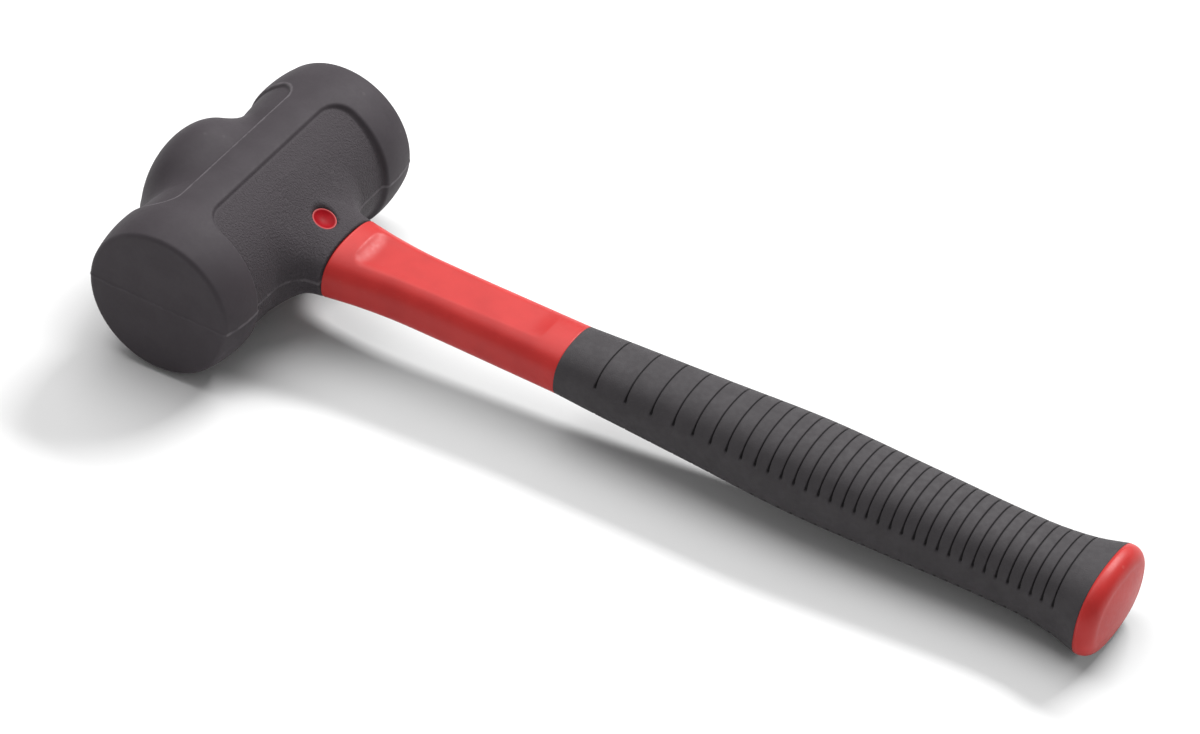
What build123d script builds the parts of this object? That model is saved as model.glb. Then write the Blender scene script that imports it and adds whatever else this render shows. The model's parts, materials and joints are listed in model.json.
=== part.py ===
from build123d import *
import os
from math import asin, atan2, cos, hypot, pi, radians, sin, sqrt

os.makedirs("parts", exist_ok=True)

# Dead blow mallet, in millimetres. It lies on the floor on its head and its butt.
# +Z is up, +Y runs along the head and +X along the handle, towards the butt.

# ---- Head: driving dimensions ----
FACE_RADIUS = 26.0            # striking face
HEAD_LENGTH = 112.6           # from face to face
FLANGE_RADIUS = 27.85         # widest ring, a little way in from each face
FLANGE_Y = 43.0               # distance of that ring from the middle
BAND_RADIUS = 27.4            # smooth band between the recesses
BAND_HALF_LENGTH = 33.0
FACE_EDGE = 1.3               # rounding of the striking faces
JACKET_FACE_THICKNESS = 9.3   # rubber in front of the canister

PANEL_RADIUS = 26.0           # floor of the grained recess on the handle side
PANEL_HALF_LENGTH = 39.5
PANEL_START = 80.5            # degrees up from the handle direction
PANEL_CORNER = 8.0
VALLEY_RADIUS = 25.8          # floor of the recess round the boss
VALLEY_HALF_LENGTH = 40.0
VALLEY_START = 108.5          # degrees up from the handle direction
VALLEY_CORNER = 8.5

BOSS_CENTRE = -20.0           # rounded boss opposite the handle
BOSS_DEPTH = 16.6
BOSS_RADIUS = 26.2
BOSS_SKIRT = -6.0             # where its skirt ends, inside the barrel
BOSS_SKIRT_RADIUS = 22.2

NECK_END = 36.0               # rim of the neck, from the head's axis
NECK_EDGE = 0.4
NECK_STATIONS = [             # (distance, half width, half height)
    (15.0, 30.2, 20.5),
    (21.0, 25.0, 16.6),
    (27.0, 20.0, 13.2),
    (31.5, 17.5, 11.3),
    (NECK_END, 16.6, 10.5),
]

# ---- Canister and its charge ----
CANISTER_RADIUS = 19.0
CANISTER_WALL = 2.5
DISC_THICKNESS = 4.0
SHOT_RADIUS = 3.0
SHOT_GAP = 0.15               # between neighbouring balls
SHOT_WALL_GAP = 0.4           # between a ball and the canister
SHOT_LEVEL = 1.0              # top of the ball centres, from the head's axis
SHOT_HALF_LENGTH = 34.0       # at the bottom of the heap
SHOT_END_SLOPE = 0.75         # how fast the heap shortens towards its top

# ---- Handle joint ----
SOCKET_END = 52.0
SOCKET_HALF_WIDTH = 12.0
SOCKET_HALF_HEIGHT = 7.2
CORE_START = 20.5
CORE_END = 303.0
CORE_HALF_WIDTH = 9.5
CORE_HALF_HEIGHT = 5.2
PIN_X = 27.0
PIN_RADIUS = 2.5
PIN_HALF_LENGTH = 10.0
CAP_RADIUS = 4.2
CAP_HEIGHT = 12.0             # middle of a pin cap's outer face, from the handle's axis
CAP_THICKNESS = 3.0
CAP_LEAN = 20.0               # degrees that the caps lean towards the handle
CAP_DISH_DEPTH = 1.1          # of the bowl in the outer face
CAP_DISH_RADIUS = 3.8
DIMPLE_RADIUS = 7.2           # mouth of the dimple
DIMPLE_DEPTH = 4.0

# ---- Handle: driving dimensions ----
NOSE_START = 31.5             # the part of the sleeve inside the neck
NOSE_HALF_WIDTH = 14.2
NOSE_HALF_HEIGHT = 9.0
GRIP_START = 122.3
GRIP_END = 313.0
BUTT_END = 319.0
BUTT_EDGE = 4.2
ROUNDNESS = 2.4               # exponent of the handle's oval section
INNER_HALF_WIDTH = 11.8       # sleeve below the grip
INNER_HALF_HEIGHT = 8.3
SLEEVE_STATIONS = [           # (distance, half width, half height)
    (NECK_END, 16.5, 10.4),
    (48.0, 14.6, 9.8),
    (60.0, 13.2, 9.5),
    (76.0, 12.8, 9.5),
    (100.0, 12.8, 9.5),
    (GRIP_START, 13.1, 9.6),
]
GRIP_STATIONS = [             # (distance, half width, half height)
    (GRIP_START, 13.2, 9.7),
    (136.0, 13.8, 10.4),
    (150.0, 14.3, 11.1),
    (172.0, 15.1, 12.2),
    (208.0, 16.7, 13.8),
    (244.0, 16.1, 13.4),
    (280.0, 15.5, 12.9),
    (292.0, 15.8, 13.1),
    (304.0, 17.4, 14.4),
    (GRIP_END, 20.3, 15.8),
]
LABEL_START = 43.5            # flat, text-free label panel
LABEL_END = 113.0
LABEL_HALF_WIDTH = 9.7
LABEL_HEIGHT = 8.5            # of its floor, from the handle's axis
LABEL_CORNER = 3.0
SPIGOT_LENGTH = 10.0

# ---- Grip grooves ----
GROOVE_FIRST = 137.0
GROOVE_COUNT = 34
GROOVE_WIDE_PITCH = 11.4      # between the first two
GROOVE_PITCH = 4.13           # between the last ones
GROOVE_HALVING = 2.5          # grooves over which the extra pitch halves
GROOVE_WIDTH = 0.9
GROOVE_DEPTH = 0.6
GROOVE_REACH = 0.34           # half height of the plain side strip, over the section's

# ---- Derived values ----
FACE_Y = HEAD_LENGTH / 2
BUTT_HALF_WIDTH, BUTT_HALF_HEIGHT = GRIP_STATIONS[-1][1:]
CANISTER_HALF_LENGTH = FACE_Y - JACKET_FACE_THICKNESS
CANISTER_BORE = CANISTER_RADIUS - CANISTER_WALL
CAP_DISH_SPHERE = (CAP_DISH_RADIUS**2 + CAP_DISH_DEPTH**2) / (2 * CAP_DISH_DEPTH)
# The flange ring and the lowest line of the butt touch the floor together.
REST_ANGLE = asin(FLANGE_RADIUS / hypot(GRIP_END, BUTT_HALF_HEIGHT)) - atan2(BUTT_HALF_HEIGHT, GRIP_END)
BOSS_REACH = -BOSS_CENTRE * cos(REST_ANGLE) + hypot(BOSS_DEPTH * cos(REST_ANGLE), BOSS_RADIUS * sin(REST_ANGLE))
BUTT_REACH = ((BUTT_END - BUTT_EDGE) * cos(REST_ANGLE)
              + (BUTT_HALF_HEIGHT - BUTT_EDGE) * sin(REST_ANGLE) + BUTT_EDGE)
HEAD_X = (BOSS_REACH - BUTT_REACH) / 2
HEAD_Z = FLANGE_RADIUS

# The mallet's own planes: the head's axis is Y, and the handle leaves it along this plane's X.
TOOL = Plane(
    origin=(HEAD_X, 0, HEAD_Z),
    x_dir=(cos(REST_ANGLE), 0, -sin(REST_ANGLE)),
    z_dir=(sin(REST_ANGLE), 0, cos(REST_ANGLE)),
)
HEAD_AXIS = Axis(origin=TOOL.origin, direction=TOOL.y_dir)
HANDLE_AXIS = Axis(origin=TOOL.origin, direction=TOOL.x_dir)


def across_handle(distance):
    """Plane square to the handle; its X runs along the head and its Y up."""
    return Plane(origin=TOOL.from_local_coords((distance, 0, 0)), x_dir=TOOL.y_dir, z_dir=TOOL.x_dir)


def across_head(distance):
    """Plane square to the head's axis."""
    return Plane(origin=TOOL.from_local_coords((0, distance, 0)), x_dir=TOOL.x_dir, z_dir=TOOL.y_dir)


def through_head(angle):
    """Plane through the head's axis, turned up from the handle's direction by an angle in degrees."""
    turned = radians(angle)
    return Plane(
        origin=TOOL.origin,
        x_dir=TOOL.x_dir * cos(turned) + TOOL.z_dir * sin(turned),
        z_dir=TOOL.z_dir * cos(turned) - TOOL.x_dir * sin(turned),
    )


def over_pin(side, height):
    """Plane at the cross pin, facing up (side 1) or down (side -1)."""
    return Plane(
        origin=TOOL.from_local_coords((PIN_X, 0, side * height)),
        x_dir=TOOL.x_dir,
        z_dir=TOOL.z_dir * side,
    )


def over_cap(side, height):
    """Plane over the outer face of the upper (side 1) or lower (side -1) pin cap, leaning with it."""
    lean = radians(CAP_LEAN)
    outward = TOOL.x_dir * sin(lean) + TOOL.z_dir * side * cos(lean)
    middle = TOOL.from_local_coords((PIN_X, 0, side * CAP_HEIGHT))
    return Plane(origin=middle + outward * height, x_dir=TOOL.y_dir, z_dir=outward)


def oval(half_width, half_height, points=24):
    """Superellipse outline of the neck and the handle, as points for a closed spline."""
    outline = []
    for i in range(points):
        turn = 2 * pi * i / points
        across = abs(cos(turn)) / half_width
        up = abs(sin(turn)) / half_height
        reach = (across**ROUNDNESS + up**ROUNDNESS) ** (-1 / ROUNDNESS)
        outline.append((reach * cos(turn), reach * sin(turn)))
    return outline


def grip_half_size(distance):
    """Half width and half height of the grip, between its stations."""
    for before, after in zip(GRIP_STATIONS, GRIP_STATIONS[1:]):
        if distance <= after[0]:
            share = (distance - before[0]) / (after[0] - before[0])
            return [low + share * (high - low) for low, high in zip(before[1:], after[1:])]
    return GRIP_STATIONS[-1][1:]


def groove_places():
    """Distances of the grip's grooves: the pitch falls quickly, then stays even."""
    places = [GROOVE_FIRST]
    for i in range(GROOVE_COUNT - 1):
        extra = (GROOVE_WIDE_PITCH - GROOVE_PITCH) * 0.5 ** (i / GROOVE_HALVING)
        places.append(places[-1] + GROOVE_PITCH + extra)
    return places


# ---- Cutters of the head jacket ----

with BuildPart() as panel_cutter:
    with BuildSketch(through_head(PANEL_START)) as panel_section:
        with Locations((PANEL_RADIUS, 0)):
            Rectangle(FACE_RADIUS, 2 * PANEL_HALF_LENGTH, align=(Align.MIN, Align.CENTER))
    revolve(axis=HEAD_AXIS, revolution_arc=2 * PANEL_START)
    fillet(panel_cutter.edges().filter_by(lambda e: abs(e.length - FACE_RADIUS) < 0.01), PANEL_CORNER)

with BuildPart() as valley_cutter:
    with BuildSketch(through_head(-VALLEY_START)) as valley_section:
        with Locations((VALLEY_RADIUS, 0)):
            Rectangle(FACE_RADIUS, 2 * VALLEY_HALF_LENGTH, align=(Align.MIN, Align.CENTER))
    revolve(axis=HEAD_AXIS, revolution_arc=360 - 2 * VALLEY_START)
    fillet(valley_cutter.edges().filter_by(lambda e: abs(e.length - FACE_RADIUS) < 0.01), VALLEY_CORNER)

# ---- Head jacket ----

with BuildPart() as head_jacket:
    # Barrel: flared flanges, each falling away to its striking face.
    with BuildSketch(TOOL) as barrel_profile:
        with BuildLine():
            for side in (1, -1):
                TangentArc((FLANGE_RADIUS, side * FLANGE_Y), (FACE_RADIUS, side * FACE_Y), tangent=(0, side))
                TangentArc(
                    (FLANGE_RADIUS, side * FLANGE_Y),
                    (BAND_RADIUS, side * BAND_HALF_LENGTH),
                    tangent=(0, -side),
                )
            Line((BAND_RADIUS, -BAND_HALF_LENGTH), (BAND_RADIUS, BAND_HALF_LENGTH))
            Polyline((FACE_RADIUS, -FACE_Y), (0, -FACE_Y), (0, FACE_Y), (FACE_RADIUS, FACE_Y))
        make_face()
    revolve(axis=HEAD_AXIS)
    for face in (head_jacket.faces().sort_by(HEAD_AXIS)[0], head_jacket.faces().sort_by(HEAD_AXIS)[-1]):
        fillet(face.edges(), FACE_EDGE)
    add(panel_cutter.part, mode=Mode.SUBTRACT)
    add(valley_cutter.part, mode=Mode.SUBTRACT)
    # Rounded boss: a dome turned about the handle's axis, with a short skirt inside the barrel.
    with BuildSketch(TOOL) as boss_profile:
        with BuildLine():
            Spline(
                (BOSS_CENTRE - BOSS_DEPTH, 0),
                (BOSS_CENTRE - BOSS_DEPTH * cos(pi / 4), BOSS_RADIUS * sin(pi / 4)),
                (BOSS_CENTRE, BOSS_RADIUS),
                tangents=((0, 1), (1, 0)),
            )
            Polyline(
                (BOSS_CENTRE, BOSS_RADIUS),
                (BOSS_SKIRT, BOSS_SKIRT_RADIUS),
                (BOSS_SKIRT, 0),
                (BOSS_CENTRE - BOSS_DEPTH, 0),
            )
        make_face()
    revolve(axis=HANDLE_AXIS)
    # Neck: lofted ovals that flare into the barrel.
    for distance, half_width, half_height in NECK_STATIONS:
        with BuildSketch(across_handle(distance)) as neck_section:
            with BuildLine():
                Spline(*oval(half_width, half_height), periodic=True)
            make_face()
    loft()
    fillet(head_jacket.faces().sort_by(HANDLE_AXIS)[-1].edges(), NECK_EDGE)
    # Hollow for the canister, the socket, the nose of the sleeve and the pin caps.
    with BuildSketch(across_head(-CANISTER_HALF_LENGTH)) as canister_hollow:
        Circle(CANISTER_RADIUS)
    extrude(amount=2 * CANISTER_HALF_LENGTH, mode=Mode.SUBTRACT)
    with BuildSketch(across_handle(0)) as socket_hollow:
        Ellipse(SOCKET_HALF_WIDTH, SOCKET_HALF_HEIGHT)
    extrude(amount=NECK_END, mode=Mode.SUBTRACT)
    with BuildSketch(across_handle(NOSE_START)) as nose_hollow:
        with BuildLine():
            Spline(*oval(NOSE_HALF_WIDTH, NOSE_HALF_HEIGHT), periodic=True)
        make_face()
    extrude(amount=NECK_END - NOSE_START, mode=Mode.SUBTRACT)
    with BuildSketch(over_pin(1, -PIN_HALF_LENGTH)) as jacket_pin_hole:
        Circle(PIN_RADIUS)
    extrude(amount=2 * PIN_HALF_LENGTH, mode=Mode.SUBTRACT)
    for side in (1, -1):
        with BuildSketch(over_cap(side, -CAP_THICKNESS)) as cap_hollow:
            Circle(CAP_RADIUS)
        extrude(amount=CAP_THICKNESS + DIMPLE_DEPTH, mode=Mode.SUBTRACT)
        for height, radius in ((0, CAP_RADIUS), (DIMPLE_DEPTH, DIMPLE_RADIUS)):
            with BuildSketch(over_cap(side, height)) as dimple_ring:
                Circle(radius)
        loft(mode=Mode.SUBTRACT)
head_jacket.part.label = "head_jacket"
export_step(head_jacket.part, "parts/head_jacket.step")

# ---- Canister: a tube with a disc pressed into each end, filled a little over a third with shot ----

with BuildPart() as canister_tube:
    with BuildSketch(across_head(-CANISTER_HALF_LENGTH)) as canister_section:
        Circle(CANISTER_RADIUS)
        Circle(CANISTER_BORE, mode=Mode.SUBTRACT)
    extrude(amount=2 * CANISTER_HALF_LENGTH)
canister_tube.part.label = "canister_tube"
export_step(canister_tube.part, "parts/canister_tube.step")

for name, start in (
    ("near_canister_disc", -CANISTER_HALF_LENGTH),
    ("far_canister_disc", CANISTER_HALF_LENGTH - DISC_THICKNESS),
):
    with BuildPart() as canister_disc:
        with BuildSketch(across_head(start)) as disc_section:
            Circle(CANISTER_BORE)
        extrude(amount=DISC_THICKNESS)
    canister_disc.part.label = name
    export_step(canister_disc.part, f"parts/{name}.step")


def shot_places():
    """Ball centres of a loose heap: close-packed layers inside the canister, with sloped ends."""
    pitch = 2 * SHOT_RADIUS + SHOT_GAP
    reach = CANISTER_BORE - SHOT_WALL_GAP - SHOT_RADIUS
    places = []
    for layer in range(int(2 * reach / pitch) + 1):
        z = layer * pitch * sqrt(2 / 3) - reach
        stagger = layer % 2
        if z > SHOT_LEVEL:
            break
        for row in range(-6, 7):
            x = (row + stagger / 3) * pitch * sqrt(3) / 2
            for i in range(-8, 9):
                y = (i + (row + stagger) % 2 / 2) * pitch
                inside = hypot(x, z) <= reach
                if inside and abs(y) <= SHOT_HALF_LENGTH - SHOT_RADIUS - SHOT_END_SLOPE * (z + reach):
                    places.append((HEAD_X + x, y, HEAD_Z + z))
    return places


with BuildPart() as steel_shot:
    with Locations(*shot_places()):
        Sphere(SHOT_RADIUS)
steel_shot.part.label = "steel_shot"
export_step(steel_shot.part, "parts/steel_shot.step")

# ---- Handle joint ----

with BuildPart() as handle_socket:
    with BuildSketch(across_handle(0)) as socket_section:
        Ellipse(SOCKET_HALF_WIDTH, SOCKET_HALF_HEIGHT)
        Ellipse(CORE_HALF_WIDTH, CORE_HALF_HEIGHT, mode=Mode.SUBTRACT)
    extrude(amount=SOCKET_END)
    # Its end is coped to the canister.
    with BuildSketch(across_head(-CANISTER_HALF_LENGTH)) as cope:
        Circle(CANISTER_RADIUS)
    extrude(amount=2 * CANISTER_HALF_LENGTH, mode=Mode.SUBTRACT)
    with BuildSketch(over_pin(1, -PIN_HALF_LENGTH)) as pin_hole:
        Circle(PIN_RADIUS)
    extrude(amount=2 * PIN_HALF_LENGTH, mode=Mode.SUBTRACT)
handle_socket.part.label = "handle_socket"
export_step(handle_socket.part, "parts/handle_socket.step")

with BuildPart() as handle_core:
    with BuildSketch(across_handle(CORE_START)) as core_section:
        Ellipse(CORE_HALF_WIDTH, CORE_HALF_HEIGHT)
    extrude(amount=CORE_END - CORE_START)
    with BuildSketch(over_pin(1, -PIN_HALF_LENGTH)) as core_pin_hole:
        Circle(PIN_RADIUS)
    extrude(amount=2 * PIN_HALF_LENGTH, mode=Mode.SUBTRACT)
handle_core.part.label = "handle_core"
export_step(handle_core.part, "parts/handle_core.step")

with BuildPart() as cross_pin:
    with BuildSketch(over_pin(1, -PIN_HALF_LENGTH)) as pin_section:
        Circle(PIN_RADIUS)
    extrude(amount=2 * PIN_HALF_LENGTH)
cross_pin.part.label = "cross_pin"
export_step(cross_pin.part, "parts/cross_pin.step")

for name, side in (("upper_pin_cap", 1), ("lower_pin_cap", -1)):
    with BuildPart() as pin_cap:
        with BuildSketch(over_cap(side, -CAP_THICKNESS)) as cap_section:
            Circle(CAP_RADIUS)
        extrude(amount=CAP_THICKNESS)
        # A bowl in its outer face, and a seat on the end of the cross pin.
        with Locations(over_cap(side, CAP_DISH_SPHERE - CAP_DISH_DEPTH).origin):
            Sphere(CAP_DISH_SPHERE, mode=Mode.SUBTRACT)
        with BuildSketch(over_pin(side, 0)) as pin_seat:
            Circle(PIN_RADIUS)
        extrude(amount=PIN_HALF_LENGTH, mode=Mode.SUBTRACT)
    pin_cap.part.label = name
    export_step(pin_cap.part, f"parts/{name}.step")

# ---- Handle ----

with BuildPart() as handle_sleeve:
    for distance, half_width, half_height in SLEEVE_STATIONS:
        with BuildSketch(across_handle(distance)) as sleeve_section:
            with BuildLine():
                Spline(*oval(half_width, half_height), periodic=True)
            make_face()
    loft()
    # Nose inside the neck, and a thinner part below the grip.
    with BuildSketch(across_handle(NOSE_START)) as nose_section:
        with BuildLine():
            Spline(*oval(NOSE_HALF_WIDTH, NOSE_HALF_HEIGHT), periodic=True)
        make_face()
    extrude(amount=NECK_END - NOSE_START)
    with BuildSketch(across_handle(GRIP_START)) as inner_section:
        with BuildLine():
            Spline(*oval(INNER_HALF_WIDTH, INNER_HALF_HEIGHT), periodic=True)
        make_face()
    extrude(amount=GRIP_END - GRIP_START)
    # Flat label panels, above and below.
    for side in (1, -1):
        with BuildSketch(over_pin(side, LABEL_HEIGHT)) as label_panel:
            with Locations(((LABEL_START + LABEL_END) / 2 - PIN_X, 0)):
                RectangleRounded(LABEL_END - LABEL_START, 2 * LABEL_HALF_WIDTH, LABEL_CORNER)
        extrude(amount=BUTT_HALF_HEIGHT, mode=Mode.SUBTRACT)
    with BuildSketch(across_handle(NOSE_START)) as socket_bore:
        Ellipse(SOCKET_HALF_WIDTH, SOCKET_HALF_HEIGHT)
    extrude(amount=SOCKET_END - NOSE_START, mode=Mode.SUBTRACT)
    with BuildSketch(across_handle(NOSE_START)) as core_bore:
        Ellipse(CORE_HALF_WIDTH, CORE_HALF_HEIGHT)
    extrude(amount=GRIP_END - NOSE_START, mode=Mode.SUBTRACT)
handle_sleeve.part.label = "handle_sleeve"
export_step(handle_sleeve.part, "parts/handle_sleeve.step")

with BuildPart() as grip:
    for distance, half_width, half_height in GRIP_STATIONS:
        with BuildSketch(across_handle(distance)) as grip_section:
            with BuildLine():
                Spline(*oval(half_width, half_height), periodic=True)
            make_face()
    loft()
    # Grooves across the upper and lower side, with a plain strip left along each edge.
    for distance in groove_places():
        half_width, half_height = grip_half_size(distance)
        strip = 2 * GROOVE_REACH * half_height
        with BuildSketch(across_handle(distance - GROOVE_WIDTH / 2)) as groove:
            Rectangle(3 * half_width, 3 * half_height)
            Rectangle(3 * half_width, strip, mode=Mode.SUBTRACT)
            with BuildLine():
                Spline(*oval(half_width - GROOVE_DEPTH, half_height - GROOVE_DEPTH), periodic=True)
            make_face(mode=Mode.SUBTRACT)
        extrude(amount=GROOVE_WIDTH, mode=Mode.SUBTRACT)
    with BuildSketch(across_handle(GRIP_START)) as grip_bore:
        with BuildLine():
            Spline(*oval(INNER_HALF_WIDTH, INNER_HALF_HEIGHT), periodic=True)
        make_face()
    extrude(amount=GRIP_END - GRIP_START, mode=Mode.SUBTRACT)
grip.part.label = "grip"
export_step(grip.part, "parts/grip.step")

with BuildPart() as butt_cap:
    with BuildSketch(across_handle(GRIP_END)) as cap_outline:
        with BuildLine():
            Spline(*oval(BUTT_HALF_WIDTH, BUTT_HALF_HEIGHT), periodic=True)
        make_face()
    extrude(amount=BUTT_END - GRIP_END)
    fillet(butt_cap.faces().sort_by(HANDLE_AXIS)[-1].edges(), BUTT_EDGE)
    with BuildSketch(across_handle(GRIP_END - SPIGOT_LENGTH)) as spigot:
        Ellipse(CORE_HALF_WIDTH, CORE_HALF_HEIGHT)
    extrude(amount=SPIGOT_LENGTH)
butt_cap.part.label = "butt_cap"
export_step(butt_cap.part, "parts/butt_cap.step")
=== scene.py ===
"""Dead blow mallet: the looks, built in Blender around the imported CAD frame.

Shapes are worked out in the mallet's own axes, in millimetres from the middle of the head: X runs
along the handle, Y along the head and Z up. to_row() turns them into the frame's metres.
"""
import json
import math

import bpy
import numpy as np
from mathutils import Matrix, Vector


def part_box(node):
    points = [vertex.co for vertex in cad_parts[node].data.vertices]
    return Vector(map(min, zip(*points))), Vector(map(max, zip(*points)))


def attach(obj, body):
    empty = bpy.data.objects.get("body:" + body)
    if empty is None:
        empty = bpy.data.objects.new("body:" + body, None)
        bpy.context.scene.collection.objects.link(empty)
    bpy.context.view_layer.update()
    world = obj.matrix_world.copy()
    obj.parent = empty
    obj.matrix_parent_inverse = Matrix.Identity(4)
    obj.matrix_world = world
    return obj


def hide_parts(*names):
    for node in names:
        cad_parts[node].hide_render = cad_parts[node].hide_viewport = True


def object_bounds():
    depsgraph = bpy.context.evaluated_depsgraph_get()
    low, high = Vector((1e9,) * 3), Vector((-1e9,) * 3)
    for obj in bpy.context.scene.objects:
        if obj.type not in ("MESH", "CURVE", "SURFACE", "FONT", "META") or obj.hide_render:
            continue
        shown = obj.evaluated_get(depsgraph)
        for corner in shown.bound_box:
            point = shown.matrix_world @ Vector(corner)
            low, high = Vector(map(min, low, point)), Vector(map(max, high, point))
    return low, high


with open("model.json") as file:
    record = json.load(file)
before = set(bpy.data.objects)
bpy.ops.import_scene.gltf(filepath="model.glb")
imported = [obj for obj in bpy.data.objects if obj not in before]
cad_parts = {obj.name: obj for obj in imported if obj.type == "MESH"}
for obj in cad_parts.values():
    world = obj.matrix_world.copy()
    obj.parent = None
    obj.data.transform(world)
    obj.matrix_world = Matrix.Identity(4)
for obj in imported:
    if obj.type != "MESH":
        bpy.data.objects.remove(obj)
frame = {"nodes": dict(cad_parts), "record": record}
cad_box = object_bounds()

# ---- The mallet's own axes, and the sizes that come from the frame ----

MM = 0.001
mounts = {mount["name"]: Vector(mount["pos_m"]) for mount in frame["record"]["mounts"]}
head_middle = (mounts["near_striking_face"] + mounts["far_striking_face"]) / 2
core_low, core_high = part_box("handle_core")
core_middle = (core_low + core_high) / 2
rest_angle = math.atan2(head_middle.z - core_middle.z, core_middle.x - head_middle.x)
tool_turn = np.array(Matrix.Rotation(rest_angle, 3, "Y"))


def to_row(points):
    """Points in the mallet's own axes, in millimetres, to the frame's metres."""
    return points @ tool_turn.T * MM + np.array(head_middle)


def tool_box(node):
    """Lowest and highest corner of a CAD node in the mallet's own axes, in millimetres."""
    corners = np.array([vertex.co for vertex in frame["nodes"][node].data.vertices])
    local = (corners - np.array(head_middle)) @ tool_turn / MM
    return local.min(0), local.max(0)


jacket_low, jacket_high = tool_box("head_jacket")
canister_high = tool_box("canister_tube")[1]
socket_high = tool_box("handle_socket")[1]
pin_low, pin_high = tool_box("cross_pin")
sleeve_low = tool_box("handle_sleeve")[0]
grip_low, grip_high = tool_box("grip")
butt_low, butt_high = tool_box("butt_cap")
core_size = tool_box("handle_core")[1]

FACE_Y = jacket_high[1]
FLANGE_RADIUS = jacket_high[2]
NECK_END = jacket_high[0]
BOSS_TIP = jacket_low[0]
PIN_X = (pin_low[0] + pin_high[0]) / 2
NOSE_START = sleeve_low[0]
GRIP_START = grip_low[0]
GRIP_END = grip_high[0]
BUTT_END = butt_high[0]
BUTT_HALF_WIDTH = butt_high[1]
BUTT_HALF_HEIGHT = grip_high[2]
CORE_HALF_WIDTH = core_size[1]
CORE_HALF_HEIGHT = core_size[2]

# ---- Head jacket: shape, in millimetres ----

FACE_RADIUS = 26.0
FACE_EDGE = 1.3               # rounding of the striking faces
FLANGE_Y = 43.0               # where the flange is widest
BAND_RADIUS = 27.4            # smooth band between the recesses
BAND_HALF_LENGTH = 33.0
PANEL_RADIUS = 26.0           # floor of the grained recess
PANEL_START = 4.5             # along the surface, from the top of the head
PANEL_HALF_LENGTH = 39.5
PANEL_CORNER = 9.0
PANEL_DRAFT = 0.7             # slope of its walls
VALLEY_RADIUS = 25.0          # floor of the recess round the boss
VALLEY_RISE = 1.7             # of that floor towards the flanges
VALLEY_RISE_START = 13.0
VALLEY_START = 8.8
VALLEY_HALF_LENGTH = 39.5
VALLEY_CORNER = 8.5
VALLEY_DRAFT = 0.6
FLOOR_CHANGE = (-6.0, 3.0)    # along X, from the valley's floor to the panel's
RIDGE_EDGE = 0.45             # rounding where the band ends
BOSS_CENTRE = -20.0
BOSS_RADIUS = 25.8
BOSS_BLEND = 6.0
NECK_STATIONS = [             # (distance, half width, half height)
    (12.0, 33.5, 23.0),
    (16.0, 29.6, 19.8),
    (21.0, 25.0, 16.4),
    (27.0, 20.0, 13.0),
    (31.5, 17.5, 11.2),
    (NECK_END, 16.6, 10.45),
]
NECK_BLEND_TOP = 1.5          # fillet into the barrel, above and below
NECK_BLEND_SIDE = 6.0
NECK_BLEND_CHANGE = (0.2, 0.9)   # between them, over the half width
NECK_TURNS = (14.0, 30.0)     # from a plain ellipse to the rounder section
NECK_EDGE = 0.4
ROUNDNESS = 2.4               # exponent of the oval sections
ROUNDNESS_START = 2.0         # of the neck where it leaves the barrel
CAP_RADIUS = 4.2              # pin caps
CAP_HEIGHT = 12.0             # middle of their outer face, from the handle's axis
CAP_THICKNESS = 3.0
CAP_LEAN = math.radians(20.0)
CAP_DISH_RADIUS = 3.8
CAP_HIGHLIGHT_START = 0.9           # start of the painted highlight round its edge, over the dish radius
DIMPLE_SLOPE = 0.6
DIMPLE_EDGE = 0.8
SEAM_HEIGHT = 0.22            # mould parting line
SEAM_HALF_WIDTH = 0.42
HIGHLIGHT_HALF_WIDTH = 0.7         # paler painted highlight line along the seam and the valley's edge
HIGHLIGHT_OFFSET = 0.3             # of that line, outside the valley's edge
HIGHLIGHT_ON_FACE = 0.4            # its strength on the striking faces
HIGHLIGHT_FADE = (0.9, 0.3)        # it fades out at these depths below the band
GRAIN_FADE = (0.6, 2.2)       # the grain and its painted sheen start this far inside the panel
CLEARANCE = 0.05              # round the hidden steel parts
MARGIN = 1.5                  # of the sampled box, round the jacket
JACKET_STEP = 0.5             # of the samples

# ---- Handle: shape, in millimetres ----

SLEEVE_STATIONS = [           # (distance, half width, half height, exponent)
    (NECK_END, 16.6, 10.45, 2.4),
    (48.0, 14.6, 9.8, 2.4),
    (60.0, 13.15, 9.5, 2.5),
    (76.0, 12.65, 9.4, 2.6),
    (100.0, 12.75, 9.4, 2.6),
    (GRIP_START, 13.1, 9.6, 2.45),
]
SLEEVE_GAP = 0.8              # dark gap between the neck and the sleeve
NOSE_HALF_WIDTH = 14.2        # sleeve inside the neck
NOSE_HALF_HEIGHT = 9.0
GRIP_STATIONS = [             # (distance, half width, half height, exponent)
    (GRIP_START, 13.1, 9.6, 2.45),
    (136.0, 13.8, 10.4, 2.4),
    (150.0, 14.3, 11.1, 2.4),
    (172.0, 15.1, 12.2, 2.4),
    (208.0, 16.7, 13.8, 2.4),
    (244.0, 16.2, 13.5, 2.4),
    (280.0, 15.6, 13.0, 2.4),
    (292.0, 15.9, 13.2, 2.4),
    (304.0, 17.4, 14.4, 2.4),
    (GRIP_END, BUTT_HALF_WIDTH, BUTT_HALF_HEIGHT, 2.4),
]
INNER_HALF_WIDTH = 11.8       # sleeve below the grip
INNER_HALF_HEIGHT = 8.3
LABEL_START = 43.0            # flat panel on the sleeve
LABEL_END = 113.0
LABEL_FLOOR_START = 8.1       # height of its floor at each end
LABEL_FLOOR_END = 8.75
LABEL_HALF_WIDTH = 10.6
LABEL_CORNER = 5.0
LABEL_WALL = 6.0              # width of the soft wall at its ends
LABEL_EDGE = 0.12             # softness of its long edges
GROOVE_FIRST = 137.0
GROOVE_COUNT = 34
GROOVE_WIDE_PITCH = 11.4      # between the first two
GROOVE_PITCH = 4.13           # between the last ones
GROOVE_HALVING = 2.5          # grooves over which the extra pitch halves
GROOVE_HALF_WIDTH = 0.26
GROOVE_END_WIDENING = 1.1     # share by which a groove widens at its ends
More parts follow.
